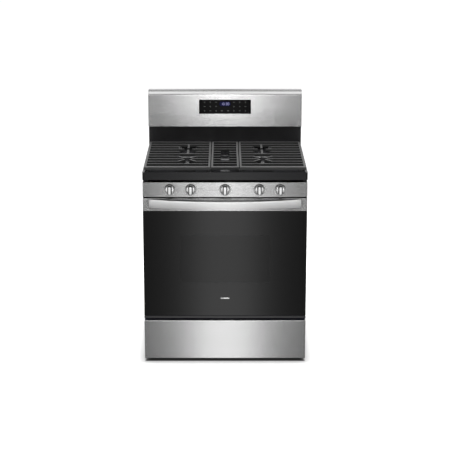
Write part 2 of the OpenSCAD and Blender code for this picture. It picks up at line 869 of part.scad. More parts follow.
module console_rear_cover() {
    x = console_half - sheet - 1;
    y = [back_y - 2 * sheet, back_y - sheet];
    z = [lip_z + 3, console_top - sheet - 1];
    color("silver") {
        difference() {
            box([-x, x], y, z);
            box([-x - 1, x + 1], [y[0] - 1, y[1] + 1],
                [console_face_z - sheet - 0.5, console_face_z + sheet + 0.5]);
            for (p = rear_screw_points)
                translate([p[0], y[0] - 1, p[1]])
                    rotate([-90, 0, 0]) cylinder(r = screw_r + 0.2, h = 12);
        }
    }
}

module display_glass() {
    gap = 0.3;
    color("black")
        box([-display_w / 2 + gap, display_w / 2 - gap], [console_y - 1, console_y + 3],
            [display_z + gap, display_z + display_h - gap]);
}

module control_board() {
    y = console_y + 16;
    z = display_z + display_h / 2;
    color("green") {
        box([-110, 110], [y, y + 1.6], [z - 30, z + 30]);
        box([-30, 30], [console_y + 6, y + 0.1], [z - 4, z + 22]);
        for (x = [-85, -60, 60, 85])
            translate([x, y + 1.5, z]) rotate([-90, 0, 0]) cylinder(r = 8, h = 18);
        for (x = [-95, 95], dz = [-24, 24])
            translate([x, console_y + 3, z + dz]) rotate([-90, 0, 0]) cylinder(r = 3, h = 13.2);
    }
}

// ---------- door ----------
module hinge_clearance() {
    half = arm_t / 2 + 1;
    both_sides()
        box([hinge_x - half, hinge_x + half], [door_core_y, door_back_y + 1],
            [door_z - 1, pivot_z + 14]);
}

// Arms that stay with the oven: each plugs into a slot of the front frame and carries a pin
module hinge_arms() {
    color("gray") {
        both_sides()
            union() {
                box([hinge_x - arm_t / 2, hinge_x + arm_t / 2], [pivot_y, body_y + 34],
                    [pivot_z - 7, pivot_z + 7]);
                rod([hinge_x - arm_t / 2, pivot_y, pivot_z], [hinge_x + arm_t / 2, pivot_y, pivot_z], 8);
                rod([hinge_x - 13, pivot_y, pivot_z], [hinge_x + 13, pivot_y, pivot_z], hinge_pin_r);
            }
    }
}

module door_frame() {
    y = [door_core_y, door_back_y - sheet];
    x = front_half - 1.5;
    z = [door_z + 2, door_top - sheet];
    color("dimgray") {
        difference() {
            union() {
                difference() {
                    box([-x, x], y, z);
                    box([-x + sheet, x - sheet], [y[0] - 1, y[1] + 1], [z[0] + sheet, z[1] - sheet]);
                }
                // flange that the inner panel closes
                difference() {
                    box([-x, x], [y[1] - sheet, y[1]], z);
                    box([-inner_panel_half + 12, inner_panel_half - 12], [y[1] - 3, y[1] + 1],
                        [inner_panel_z + 12, z[1] - 30]);
                }
                both_sides()
                    for (side = [-1, 1])
                        translate([hinge_x + side * 9.5, 0, 0])
                            box([-3.5, 3.5], y, [z[0], pivot_z + 14]);
            }
            both_sides()
                rod([hinge_x - 14, pivot_y, pivot_z], [hinge_x + 14, pivot_y, pivot_z],
                    hinge_pin_r + fit_run);
            hinge_clearance();
        }
    }
}

module door_glass() {
    color("black")
        along_y([face_y, door_core_y])
            polygon(round_box([-front_half, front_half], [door_z + bottom_trim_h + 2, band_z - 1], 2.5));
}

module door_top_band() {
    y = [face_y, door_core_y];
    color("silver") {
        difference() {
            union() {
                along_x([-front_half, front_half])
                    polygon(concat([[y[1], band_z], [y[0], band_z]],
                        arc([y[0] + 3, door_top - 3], 3, 180, 90, 4), [[y[1], door_top]]));
                box([-front_half, front_half], [y[1] - 1, door_back_y - 2], [door_top - sheet, door_top]);
            }
            box([-front_half + sheet, front_half - sheet], [y[0] + sheet, y[1] + 1],
                [band_z + sheet, door_top - sheet]);
        }
    }
}

module door_bottom_trim() {
    color("black")
        along_x([-front_half, front_half])
            polygon(concat([[door_core_y, door_z + bottom_trim_h], [door_core_y, door_z]],
                arc([face_y + 3, door_z + 3], 3, 270, 180, 4),
                [[face_y, door_z + bottom_trim_h - 1], [face_y + 1, door_z + bottom_trim_h]]));
}

module door_inner_panel() {
    y = [door_back_y - sheet, door_back_y];
    color("midnightblue")
        along_y(y)
            difference() {
                polygon(round_box([-inner_panel_half, inner_panel_half],
                    [inner_panel_z, door_top - 18], 14));
                polygon(round_box([-window_w / 2, window_w / 2],
                    [window_z - window_h / 2, window_z + window_h / 2], 18));
            }
}

module door_inner_glass() {
    y = [door_back_y - sheet - 4, door_back_y - sheet];
    m = 14;
    color("gray", 0.4)
        box([-window_w / 2 - m, window_w / 2 + m], y,
            [window_z - window_h / 2 - m, window_z + window_h / 2 + m]);
}

// Plan of the handle's bowed band between two radii
module bow(r_out, r_in, half) {
    a = asin(half / bow_r);
    polygon(concat(arc([0, bow_y], r_out, 270 - a, 270 + a, 24),
        arc([0, bow_y], r_in, 270 + a, 270 - a, 24)));
}

// Bowed band with a bracket at each end that reaches back to the door's steel band
module door_handle() {
    bracket = [handle_half - 26, handle_half - 4];
    color("silver") {
        translate([0, 0, handle_z]) linear_extrude(handle_h) bow(bow_r, bow_r - handle_t, handle_half);
        both_sides()
            box(bracket, [face_y - handle_reach + handle_bow + 2, face_y], [handle_z + 5, handle_top - 5]);
    }
}

// ---------- drawer ----------
module drawer_front() {
    y = [face_y, tub_y];
    r = 4;
    color("silver") {
        difference() {
            along_x([-front_half, front_half])
                polygon(concat([[y[1], kick_h]], arc([y[0] + r, kick_h + r], r, 270, 180, 4),
                    arc([y[0] + r, drawer_top - r], r, 180, 90, 4), [[y[1], drawer_top]]));
            box([-front_half + sheet, front_half - sheet], [y[0] + sheet, y[1] + 1],
                [kick_h + sheet, drawer_top - sheet]);
        }
    }
}

module drawer_tub() {
    z = [tub_z, tub_z + tub_h];
    color("dimgray") {
        difference() {
            union() {
                box([-tub_half, tub_half], [tub_y, tub_back], z);
                box([-front_half + 6, front_half - 6], [tub_y, tub_y + sheet],
                    [kick_h + 6, drawer_top - 6]);
            }
            box([-tub_half + sheet, tub_half - sheet], [tub_y + sheet, tub_back - sheet],
                [z[0] + sheet, z[1] + 1]);
        }
        both_sides()
            box([tub_half - 0.1, tub_half + slide_t], [tub_y + sheet, tub_back],
                [slide_z, slide_z + slide_h]);
    }
}

// Fixed rails, each on two brackets from the side panel
module drawer_rails() {
    x0 = tub_half + slide_t + slide_gap;
    y = [body_y + 6, back_y - 90];
    color("silver") {
        both_sides()
            union() {
                box([x0, x0 + 4], y, [slide_z - 4, slide_z + slide_h + 4]);
                box([tub_half + 1, x0 + 1], y, [slide_z - 4, slide_z - 0.8]);
                for (by = [y[0], y[1] - 24])
                    box([x0 + 3, side_in], [by, by + 24], [slide_z, slide_z + 12]);
            }
    }
}

// ---------- the whole range ----------
mirror([1, 0, 0]) side_panel();  // side_panel_left
side_panel();  // side_panel_right
back_panel();
base_frame();
front_frame();
oven_liner();
oven_floor();
oven_insulation();
door_seal();
oven_rack(rack_lower_level);  // oven_rack_lower
oven_rack(rack_upper_level);  // oven_rack_upper
bake_burner();
broil_burner();
oven_lamp();
temperature_probe();
cooktop();
burner_heads();
burner_caps();
spark_electrodes();
gas_manifold();
gas_valves();
burner_tubes();
pressure_regulator();
control_panel();
knob_bezels();
console_face();
console_lower_panel();
console_rear_cover();
display_glass();
control_board();
hinge_arms();
drawer_rails();
rear_screws();
cord_gland();
mirror([1, 0, 0]) grate_side();  // grate_left
grate_middle();
grate_side();  // grate_right
for (i = [0:4]) {
    valve_stem(i);
    knob(i);
}
door_frame();
door_glass();
door_top_band();
door_bottom_trim();
door_inner_panel();
door_inner_glass();
door_handle();
drawer_front();
drawer_tub();
foot(-foot_x, foot_front_y);  // foot_front_left
foot(foot_x, foot_front_y);  // foot_front_right
foot(-foot_x, foot_rear_y);  // foot_rear_left
foot(foot_x, foot_rear_y);  // foot_rear_right
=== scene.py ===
import json
import math

import bmesh
import bpy
from mathutils import Matrix, Vector


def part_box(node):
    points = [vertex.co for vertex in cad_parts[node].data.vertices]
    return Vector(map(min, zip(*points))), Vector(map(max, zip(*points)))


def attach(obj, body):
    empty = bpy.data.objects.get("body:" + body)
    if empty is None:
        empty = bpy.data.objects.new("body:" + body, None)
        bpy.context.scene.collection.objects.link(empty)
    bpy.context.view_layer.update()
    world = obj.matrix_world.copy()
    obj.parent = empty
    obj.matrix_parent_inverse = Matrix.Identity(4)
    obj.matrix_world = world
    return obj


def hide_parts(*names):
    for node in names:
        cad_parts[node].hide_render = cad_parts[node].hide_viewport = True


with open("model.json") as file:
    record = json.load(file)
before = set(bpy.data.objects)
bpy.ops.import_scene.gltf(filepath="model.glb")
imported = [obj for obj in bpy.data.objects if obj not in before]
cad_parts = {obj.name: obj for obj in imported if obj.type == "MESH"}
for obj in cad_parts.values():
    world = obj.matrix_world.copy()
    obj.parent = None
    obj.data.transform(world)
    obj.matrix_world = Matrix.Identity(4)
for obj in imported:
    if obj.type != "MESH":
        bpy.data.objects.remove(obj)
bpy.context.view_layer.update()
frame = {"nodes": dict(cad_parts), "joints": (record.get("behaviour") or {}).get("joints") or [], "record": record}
joints = {joint["name"]: joint for joint in frame["joints"]}
knobNumbers = range(1, 6)
scene = bpy.context.scene
print("frame loaded:", len(frame["nodes"]), "nodes")

# straight in front of the range, looking down on it through a long lens
kitchenView = {"place": (0, -6.74, 2.365), "down": 14.79, "lens": 115.3, "farthest": 200}


def setCamera():
    data = bpy.data.cameras.new("kitchenView")
    data.lens = kitchenView["lens"]
    data.clip_end = kitchenView["farthest"]
    camera = bpy.data.objects.new("kitchenView", data)
    camera.location = kitchenView["place"]
    camera.rotation_euler = (math.radians(90 - kitchenView["down"]), 0, 0)
    scene.collection.objects.link(camera)
    scene.camera = camera


class Value:
    # one output socket: an expression on it adds its Math nodes, and 1 - mask works too
    def __init__(self, nodes, socket):
        self.nodes = nodes
        self.socket = socket

    def __add__(self, other):
        return maths("ADD", self, other)

    def __radd__(self, other):
        return maths("ADD", other, self)

    def __sub__(self, other):
        return maths("SUBTRACT", self, other)

    def __rsub__(self, other):
        return maths("SUBTRACT", other, self)

    def __mul__(self, other):
        return maths("MULTIPLY", self, other)

    def __rmul__(self, other):
        return maths("MULTIPLY", other, self)

    def __truediv__(self, other):
        return maths("DIVIDE", self, other)

    def __rtruediv__(self, other):
        return maths("DIVIDE", other, self)

    def __pow__(self, other):
        return maths("POWER", self, other)

    def __rpow__(self, other):
        return maths("POWER", other, self)

    def __lt__(self, other):
        return maths("LESS_THAN", self, other)

    def __gt__(self, other):
        return maths("GREATER_THAN", self, other)

    def __abs__(self):
        return maths("ABSOLUTE", self)


def maths(operation, *values):
    nodes = next(value.nodes for value in values if isinstance(value, Value))
    return nodes.node("ShaderNodeMath", {"operation": operation}, dict(enumerate(values)))


def riseBetween(value, low, high):  # 0 below low, 1 above high, smooth between
    return value.nodes.node("ShaderNodeMapRange", {"interpolation_type": "SMOOTHSTEP"},
                            {"Value": value, "From Min": low, "From Max": high})


def colour(value):
    if isinstance(value, (int, float)):
        return (value, value, value, 1)
    if isinstance(value, tuple) and len(value) == 3:
        return (*value, 1)
    return value


class Nodes:
    # the node tree of one material or world
    def __init__(self, tree):
        self.tree = tree

    def node(self, kind, settings=None, sockets=None, out=0):
        made = self.tree.nodes.new(kind)
        for name, value in (settings or {}).items():
            setattr(made, name, value)
        for name, value in (sockets or {}).items():
            self.feed(made.inputs[name], value)
        return Value(self, made.outputs[out])

    def feed(self, socket, value):
        if isinstance(value, Value):
            self.tree.links.new(value.socket, socket)
        else:
            socket.default_value = value


class Finish(Nodes):
    # one procedural material; what is the same all over is given with its name
    def __init__(self, name, **fixed):
        self.material = bpy.data.materials.new(name)
        self.material.use_nodes = True
        super().__init__(self.material.node_tree)
        self.shader = self.tree.nodes["Principled BSDF"]
        self.set(**fixed)

    def set(self, **values):  # Base_Color is the socket Base Color
        for socket, value in values.items():
            self.feed(self.shader.inputs[socket.replace("_", " ")], value)
        return self

    def place(self):  # metres in the frame, which move with the piece
        return self.node("ShaderNodeTexCoord", out="Object")

    def axis(self, letter):
        return self.node("ShaderNodeSeparateXYZ", sockets={"Vector": self.place()}, out=letter)

    def noise(self, scale, detail=3, stretch=None, rough=0.5):
        vector = self.place()
        if stretch:
            vector = self.node("ShaderNodeVectorMath", {"operation": "MULTIPLY"},
                               {0: vector, 1: stretch})
        return self.node("ShaderNodeTexNoise", None,
                         {"Vector": vector, "Scale": scale, "Detail": detail, "Roughness": rough})

    def cells(self, scale, out):
        return self.node("ShaderNodeTexVoronoi", {"feature": "F1"},
                         {"Vector": self.place(), "Scale": scale}, out)

    def mix(self, mask, first, second):
        return self.node("ShaderNodeMix", {"data_type": "RGBA"},
                         {"Factor": mask, "A": colour(first), "B": colour(second)}, "Result")

    def shades(self, mask, shade, darker, lighter):  # one colour that varies a little
        return self.mix(mask, scaled(shade, darker), scaled(shade, lighter))

    def bump(self, height, strength, distance):
        return self.node("ShaderNodeBump", None,
                         {"Height": height, "Strength": strength, "Distance": distance})


def scaled(values, share):
    return tuple(share * value for value in values)


# the scratches run sideways, so reflections smear up and down
steelLook = {"light": 0.62, "dark": 0.52, "rough": 0.23, "grain": 0.04, "smear": 0.95,
             "scratches": (5, 260, 900)}
# painted shade: the control panel's steel is a darker copy of the same steel
panelPaintedShadeLook = {**steelLook, "light": 0.38, "dark": 0.31}
# the door band's steel carries a painted shade where it lies close behind the handle
bandLook = {**steelLook, "paintedShadeReach": 0.09, "paintedShadeColour": 0.03, "paintedShadeOpenness": (0.25, 0.95)}


def brushedSteel(name, look):
    steel = Finish(name, Metallic=1.0, Anisotropic=look["smear"], Anisotropic_Rotation=0.25)
    scratches = steel.noise(1.0, 4, look["scratches"], 0.6)
    hairs = steel.noise(1.0, 2, scaled(look["scratches"], 3.1), 0.7)
    wipes = steel.noise(2.4, 2)
    tone = scratches * 0.7 + hairs * 0.3
    base = steel.mix(tone, look["dark"], look["light"])
    # painted shade: ambient occlusion darkens the base colour of steel close behind another piece
    if "paintedShadeReach" in look:  # steel close behind another piece is darker
        paintedShadeOpenness = steel.node("ShaderNodeAmbientOcclusion", {"samples": 8},
                              {"Distance": look["paintedShadeReach"]}, "AO")
        base = steel.mix(riseBetween(paintedShadeOpenness, *look["paintedShadeOpenness"]), look["paintedShadeColour"], base)
    return steel.set(
        Base_Color=base,
        Roughness=look["rough"] + look["grain"] * (tone - 0.5) + 0.04 * (wipes - 0.5),
        Normal=steel.bump(tone, 0.35, 0.0003)).material


def polishedSteel(name):
    steel = Finish(name, Metallic=1.0)
    wipes = steel.noise(60, 3, (1, 1, 6))
    return steel.set(
        Base_Color=steel.mix(wipes, 0.76, 0.88),
        Roughness=0.22 + 0.08 * wipes,
        Normal=steel.bump(wipes, 0.08, 0.0003)).material


def castIron():
    iron = Finish("castIron", Specular_IOR_Level=0.38)
    sand = iron.noise(1500, 4, rough=0.7)
    blotch = iron.noise(38, 3)
    worn = riseBetween(iron.node("ShaderNodeNewGeometry", out="Pointiness"), 0.54, 0.66)
    # painted light: faces turned up are lighter and the bars' sides nearly black, as if lit only from above
    normal = iron.node("ShaderNodeNewGeometry", out="Normal")
    up = iron.node("ShaderNodeSeparateXYZ", sockets={"Vector": normal}, out="Z")
    base = iron.mix(riseBetween(up, 0.2, 0.9), 0.006, iron.mix(blotch, 0.045, 0.07))
    return iron.set(
        Base_Color=iron.mix(worn * 0.5, base, 0.05),
        Roughness=0.40 + 0.18 * sand - 0.08 * worn,
        Normal=iron.bump(sand * 0.7 + blotch * 0.5, 0.5, 0.0006)).material


def enamel(name, shade, speck=0.0, rough=0.16):
    glaze = Finish(name, Coat_Weight=0.04, Coat_Roughness=0.06, Specular_IOR_Level=0.21)
    peel = glaze.noise(420, 2)
    drift = glaze.noise(7, 2)
    base = glaze.shades(drift, shade, 0.8, 1.2)
    if speck:
        size = 0.16 * glaze.noise(90, 1) + 0.03
        base = glaze.mix((glaze.cells(320, "Distance") < size) * speck, base, (0.62, 0.64, 0.68))
    return glaze.set(
        Base_Color=base,
        Roughness=rough + 0.07 * drift,
        Normal=glaze.bump(peel, 0.05, 0.0004)).material


def satinPaint(name, shade):
    paint = Finish(name)
    grain = paint.noise(900)
    drift = paint.noise(5, 2)
    return paint.set(
        Base_Color=paint.shades(drift, shade, 0.85, 1.15),
        Roughness=0.38 + 0.14 * grain,
        Normal=paint.bump(grain, 0.3, 0.0004)).material


def galvanised():
    zinc = Finish("galvanised", Metallic=1.0)
    spangle = zinc.node("ShaderNodeRGBToBW", None, {"Color": zinc.cells(75, "Color")})
    drift = zinc.noise(9)
    return zinc.set(
        Base_Color=zinc.mix(spangle, 0.36, 0.52),
        Roughness=0.34 + 0.14 * spangle + 0.08 * drift,
        Normal=zinc.bump(drift, 0.1, 0.001)).material


def metal(name, shade, rough, bumpy=0.2):
    cast = Finish(name, Metallic=1.0)
    sand = cast.noise(500)
    drift = cast.noise(12, 2)
    return cast.set(
        Base_Color=cast.shades(drift, shade, 0.85, 1.1),
        Roughness=rough + 0.12 * (sand - 0.5),
        Normal=cast.bump(sand, bumpy, 0.0005)).material


def plain(name, shade, rough, bumpy):
    body = Finish(name)
    sand = body.noise(700)
    drift = body.noise(14, 2)
    return body.set(
        Base_Color=body.shades(drift, shade, 0.88, 1.1),
        Roughness=rough + 0.1 * (sand - 0.5),
        Normal=body.bump(sand, bumpy, 0.0005)).material


# the black print is solid but for a window, at whose edge it breaks up into dots
printLook = {"margin": 0.014, "dot": 0.0026, "fade": 0.022, "fullyClear": 0.75, "seeThrough": 0.1}


def doorGlass():
    glass = Finish("doorGlass", IOR=1.5)
    low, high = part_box("door_inner_glass")
    halfWide = high.x - printLook["margin"]
    halfTall = (high.z - low.z) / 2 - printLook["margin"]
    across = abs(glass.axis("X"))
    x = glass.axis("X") / printLook["dot"]
    z = glass.axis("Z") / printLook["dot"]
    upright = abs(glass.axis("Z") - (low.z + high.z) / 2)
    past = maths("MAXIMUM", across - halfWide, upright - halfTall)
    inside = 1 - riseBetween(past, -printLook["fade"], 0.0)
    dotX = maths("FRACT", x) - 0.5
    dotZ = maths("FRACT", z) - 0.5
    fromDot = (dotX * dotX + dotZ * dotZ) ** 0.5
    clear = fromDot < inside * printLook["fullyClear"]
    haze = glass.noise(3.5, 2)
    return glass.set(
        Base_Color=glass.mix(haze, 0.0015, 0.003),
        Roughness=0.035 + 0.03 * haze,
        Alpha=1 - clear * printLook["seeThrough"],
        Normal=glass.bump(haze, 0.02, 0.001)).material


def clearGlass(name, shade, alpha, rough):
    glass = Finish(name, IOR=1.5, Alpha=alpha)
    haze = glass.noise(14)
    return glass.set(
        Base_Color=glass.shades(haze, shade, 0.9, 1.0),
        Roughness=rough + 0.06 * haze).material


def consoleGlass():
    glass = Finish("consoleGlass", Specular_IOR_Level=0.05, IOR=1.5)
    haze = glass.noise(30)
    return glass.set(
        Base_Color=glass.mix(haze, 0.0015, 0.003),
        Roughness=0.07 + 0.05 * haze,
        Normal=glass.bump(haze, 0.02, 0.0006)).material


def wovenSeal():
    seal = Finish("wovenSeal")
    wave = seal.node("ShaderNodeTexWave", {"bands_direction": "DIAGONAL"},
                     {"Vector": seal.place(), "Scale": 260.0, "Distortion": 1.5})
    return seal.set(
        Base_Color=seal.mix(wave, 0.05, 0.16),
        Roughness=0.8 + 0.1 * wave,
        Normal=seal.bump(wave, 0.6, 0.0008)).material


def glassWool():
    wool = Finish("glassWool", Sheen_Weight=0.2)
    fibre = wool.noise(1.0, 5, (120, 700, 300), 0.8)
    return wool.set(
        Base_Color=wool.mix(fibre, (0.55, 0.48, 0.28), (0.82, 0.76, 0.55)),
        Roughness=0.85 + 0.1 * fibre,
        Normal=wool.bump(fibre, 0.8, 0.003)).material


# one for each material slot of the record
finishes = {
    "steel": brushedSteel("brushedSteel", steelLook),
    "steel_polished": polishedSteel("polishedSteel"),
    "galvanized": galvanised(),
    "black_paint": satinPaint("blackPaint", (0.020, 0.020, 0.022)),
    "enamel": enamel("blackEnamel", (0.010, 0.010, 0.011)),
    "oven_enamel": enamel("speckledEnamel", (0.012, 0.016, 0.034), 0.7, 0.22),
    "cast_iron": castIron(),
    "aluminium": metal("castAluminium", (0.34, 0.34, 0.345), 0.42),
    "brass": metal("brass", (0.66, 0.48, 0.2), 0.3, 0.1),
    "black_glass": doorGlass(),
    "clear_glass": clearGlass("ovenGlass", (0.10, 0.11, 0.11), 0.35, 0.04),
    "ceramic": plain("glazedCeramic", (0.82, 0.80, 0.74), 0.25, 0.05),
    "wool": glassWool(),
    "seal": wovenSeal(),
    "chrome_wire": metal("chromeWire", (0.66, 0.66, 0.67), 0.12, 0.02),
    "black_plastic": plain("blackPlastic", (0.022, 0.022, 0.022), 0.55, 0.3),
    "board": plain("circuitBoard", (0.02, 0.14, 0.05), 0.4, 0.1),
    "lamp_glass": clearGlass("lampGlass", (0.80, 0.78, 0.70), 0.75, 0.35),
}
# these nodes differ a little from their slot's finish; the door band and the control panel carry painted shade,
# the console's lower panel painted light
ownFinishes = {
    "display_glass": consoleGlass(),
    "door_top_band": brushedSteel("bandSteelPaintedShade", bandLook),
    "control_panel": brushedSteel("panelSteelPaintedShade", panelPaintedShadeLook),
    # painted light: the console's lower panel is a lighter copy of the cooktop's black enamel
    "console_lower_panel": enamel("consoleEnamelPaintedLight", (0.022, 0.022, 0.023)),
}
print("finishes made:", len(finishes) + len(ownFinishes))


# widths of the softened edges of CAD nodes, in metres
softEdges = {"grate_left": 0.0016, "grate_middle": 0.0016, "grate_right": 0.0016,
             "cooktop": 0.0012, "door_glass": 0.0008, "door_top_band": 0.0005,
             "drawer_front": 0.0005, "control_panel": 0.0006, "console_face": 0.0006,
             "console_lower_panel": 0.0008, "side_panel_left": 0.0005,
             "side_panel_right": 0.0005, "front_frame": 0.0004, "door_inner_panel": 0.0004,
             "oven_liner": 0.0004, "door_bottom_trim": 0.0005}
sharpest = 35  # degrees: a flatter bend than this isn't an edge


def softenEdges(piece, width):
    weld = piece.modifiers.new("weld", "WELD")
    weld.merge_threshold = 0.00001
    bevel = piece.modifiers.new("bevel", "BEVEL")
    bevel.width = width
    bevel.segments = 2
    bevel.limit_method = "ANGLE"
    bevel.angle_limit = math.radians(sharpest)
    bevel.use_clamp_overlap = True


def dressNodes():
    slots = {part["node"]: part["material_slot"] for part in frame["record"]["subparts"]}
    for name, piece in frame["nodes"].items():
        piece.data.materials.clear()
        piece.data.materials.append(ownFinishes.get(name, finishes[slots[name]]))
        if name in softEdges:
            softenEdges(piece, softEdges[name])


def addPiece(name, mesh, finish, body, crease=sharpest):
    bmesh.ops.remove_doubles(mesh, verts=mesh.verts, dist=0.00002)
    bmesh.ops.recalc_face_normals(mesh, faces=mesh.faces)
    for face in mesh.faces:
        face.smooth = True
    for edge in mesh.edges:
        edge.smooth = edge.calc_face_angle(0) < math.radians(crease)
    data = bpy.data.meshes.new(name)
    mesh.to_mesh(data)
    mesh.free()
    data.materials.append(finish)
    piece = bpy.data.objects.new(name, data)
    scene.collection.objects.link(piece)
    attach(piece, body)
    return piece


def joinInto(target, part):
    data = bpy.data.meshes.new("part")
    part.to_mesh(data)
    part.free()
    target.from_mesh(data)
    bpy.data.meshes.remove(data)


def skin(mesh, rings, hoop=False):  # joins rings of equal count; a hoop joins its last to its first
    loops = [[mesh.verts.new(point) for point in ring] for ring in rings]
    following = loops[1:] + loops[:1] if hoop else loops[1:]
    for low, high in zip(loops, following):
        for i in range(len(low)):
            j = (i + 1) % len(low)
            mesh.faces.new((low[i], low[j], high[j], high[i]))
    if not hoop:
        mesh.faces.new(loops[0])
        mesh.faces.new(loops[-1])


def circle(radius, z, count, middle=(0, 0)):
    turns = [2 * math.pi * k / count for k in range(count)]
    return [(middle[0] + radius * math.cos(a), middle[1] + radius * math.sin(a), z) for a in turns]


def roundedBox(halfX, halfY, corner, steps=5):
    points = []
    for sideX, sideY, start in ((1, 1, 0), (-1, 1, 90), (-1, -1, 180), (1, -1, 270)):
        for k in range(steps + 1):
            a = math.radians(start + 90 * k / steps)
            points.append((sideX * (halfX - corner) + corner * math.cos(a),
                           sideY * (halfY - corner) + corner * math.sin(a)))
    return points


# each knob is a round skirt, a long grip across it and a bright face on the grip;
# levels are (in from the edge, out from the panel), and the grip's are shares of its length
knob = {"facets": 72, "skirt": ((0.0010, 0.0035), (0, 0.0045), (0, 0.0070), (0.0006, 0.0087),
                                (0.0016, 0.0101), (0.0034, 0.0111), (0.0055, 0.0115)),
        "hub": (0.008, 0.0119), "gripFoot": 0.0100, "gripBase": 0.0112, "gripTip": 0.0078,
        "taper": 1.4, "gripIn": 0.0006, "endRound": 0.003, "corner": 0.6, "roundFrom": 0.9,
        "lip": 0.0014, "gripLevels": (0, 0.12, 0.35, 0.6, 0.8, 0.92, 0.98, 1),
        "face": 0.0058, "faceIn": 0.0040, "faceCorner": 0.0042, "proud": 0.0008,
        "faceLevels": ((0, -0.001), (0, 0.0002), (0.0003, 0.0005), (0.0010, 0.0007),
                       (0.0024, 0.0008)), "crease": 40}
# painted light and shade: the grip is a darkened copy of the knob's steel, a painted shade on its flanks, and the
# face a brightened copy, a painted highlight
gripPaintedShadeSteel = metal("gripPaintedShadeSteel", (0.16, 0.16, 0.165), 0.28, 0.05)
facePaintedLightSteel = metal("facePaintedLightSteel", (0.9, 0.9, 0.9), 0.34, 0.05)


def knobFrame(number):  # x right, y up the panel, z out of it
    joint = joints[f"knob_{number}_turn"]
    out = Vector(joint["axis"])
    up = Vector((0, out.z, -out.y))
    turned = Matrix(((1, up.x, out.x), (0, up.y, out.y), (0, up.z, out.z))).to_4x4()
    return Matrix.Translation(joint["pos_m"]) @ turned


def knobRadius(number):
    low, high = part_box(f"knob_{number}")
    return (high.x - low.x) / 2


def knobTip(number):  # where the face's back lies, out from the panel
    joint = joints[f"knob_{number}_turn"]
    middle, out = Vector(joint["pos_m"]), Vector(joint["axis"])
    vertices = frame["nodes"][f"knob_{number}"].data.vertices
    return max((vertex.co - middle).dot(out) for vertex in vertices) - knob["proud"]


def knobSkirt(radius):
    skirt = bmesh.new()
    hubRadius, hubOut = knob["hub"]
    rings = [circle(radius - inward, z, knob["facets"]) for inward, z in knob["skirt"]]
    skin(skirt, [*rings, circle(hubRadius, hubOut, knob["facets"])])
    return skirt


def knobGrip(radius, tip):  # narrows outwards and rounds off at its edges
    grip = bmesh.new()
    rings = []
    for share in knob["gripLevels"]:
        width = knob["gripBase"] + (knob["gripTip"] - knob["gripBase"]) * share ** knob["taper"]
        length = radius - knob["gripIn"] - knob["endRound"] * share ** 4
        z = knob["gripFoot"] + (tip - knob["gripFoot"]) * share
        if share > knob["roundFrom"]:
            width -= knob["lip"] * ((share - knob["roundFrom"]) / (1 - knob["roundFrom"])) ** 2
        rings.append([(x, y, z) for x, y in roundedBox(width, length, width * knob["corner"])])
    skin(grip, rings)
    return grip


def knobFace(radius, tip):
    face = bmesh.new()
    rings = []
    for cut, rise in knob["faceLevels"]:
        outline = roundedBox(knob["face"] - cut, radius - knob["faceIn"] - cut, knob["faceCorner"] - cut)
        rings.append([(x, y, tip + rise) for x, y in outline])
    skin(face, rings)
    return face


def makeKnob(number):
    radius, tip = knobRadius(number), knobTip(number)
    for name, mesh, finish in (("knobSkirt", knobSkirt(radius), finishes["steel_polished"]),
                               ("knobGrip", knobGrip(radius, tip), gripPaintedShadeSteel),
                               ("knobFace", knobFace(radius, tip), facePaintedLightSteel)):
        mesh.transform(knobFrame(number))
        piece = addPiece(f"{name}{number}", mesh, finish, f"knob_{number}",
                         knob["crease"])
        if name == "knobSkirt":
            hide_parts(f"knob_{number}")


# a ring round each knob, and dots of rising size that say how far the gas is open
ring = {"gap": 0.0015, "facets": 72, "light": 0.72, "dark": 0.07, "darkFrom": 0.006, "darkTo": 0.008,
        "profile": ((0, 0), (0.0036, 0), (0.0036, 0.0012), (0.0030, 0.0026), (0.0018, 0.0031),
                    (0.0008, 0.0030), (0, 0.0022))}
dial = {"dots": 9, "from": 210, "to": -30, "out": 0.0315, "size": 0.0011, "smallest": 0.45,
        "facets": 12, "depth": (-0.0001, 0.00015)}


def shadedRing():  # darker over the top of a knob, where the cooktop's lip takes the light
    metalRing = Finish("knobRing", Metallic=1.0)
    low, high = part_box("knob_bezels")
    sand = metalRing.noise(500)
    start = (low.z + high.z) / 2 - ring["darkFrom"]
    up = riseBetween(metalRing.axis("Z"), start, high.z - ring["darkTo"])
    return metalRing.set(
        Base_Color=metalRing.mix(up, ring["light"], ring["dark"]),
        Roughness=0.24 + 0.1 * sand,
        Normal=metalRing.bump(sand, 0.05, 0.0005)).material


def makeRings():
    rings = bmesh.new()
    dots = bmesh.new()
    for number in knobNumbers:
        inner = knobRadius(number) + ring["gap"]
        hoop = bmesh.new()
        skin(hoop, [circle(inner + out, z, ring["facets"]) for out, z in ring["profile"]], hoop=True)
        hoop.transform(knobFrame(number))
        joinInto(rings, hoop)
        for k in range(dial["dots"]):
            share = k / (dial["dots"] - 1)
            a = math.radians(dial["from"] + (dial["to"] - dial["from"]) * share)
            middle = (dial["out"] * math.cos(a), dial["out"] * math.sin(a))
            radius = dial["size"] * (dial["smallest"] + (1 - dial["smallest"]) * share)
            dot = bmesh.new()
            skin(dot, [circle(radius, z, dial["facets"], middle) for z in dial["depth"]])
            dot.transform(knobFrame(number))
            joinInto(dots, dot)
    piece = addPiece("knobRings", rings, shadedRing(), "range_body")
    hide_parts("knob_bezels")
    addPiece("dialDots", dots, finishes["black_plastic"], "range_body")


# a bowed band with rounded edges, a little slimmer in the middle, on a bracket at each end;
# a bracket's levels are (share of the way to the door, wider by)
handle = {"bow": 0.040, "thick": 0.014, "edge": 0.0062, "crown": 0.0016, "waist": 0.12, "steps": 60,
          "endCut": 0.0025, "endReach": 0.004, "bracket": 0.022, "inset": 0.004, "sunk": 0.004,
          "shorter": 0.006, "corner": 0.005, "crease": 50,
          "levels": ((0, -0.001), (0.06, 0), (0.5, -0.001), (0.9, 0.0005), (1, 0.002))}
# painted light: the handle's steel is a much brighter copy of the same steel
handlePaintedLightLook = {**steelLook, "light": 0.97, "dark": 0.92, "rough": 0.40, "smear": 0.0}


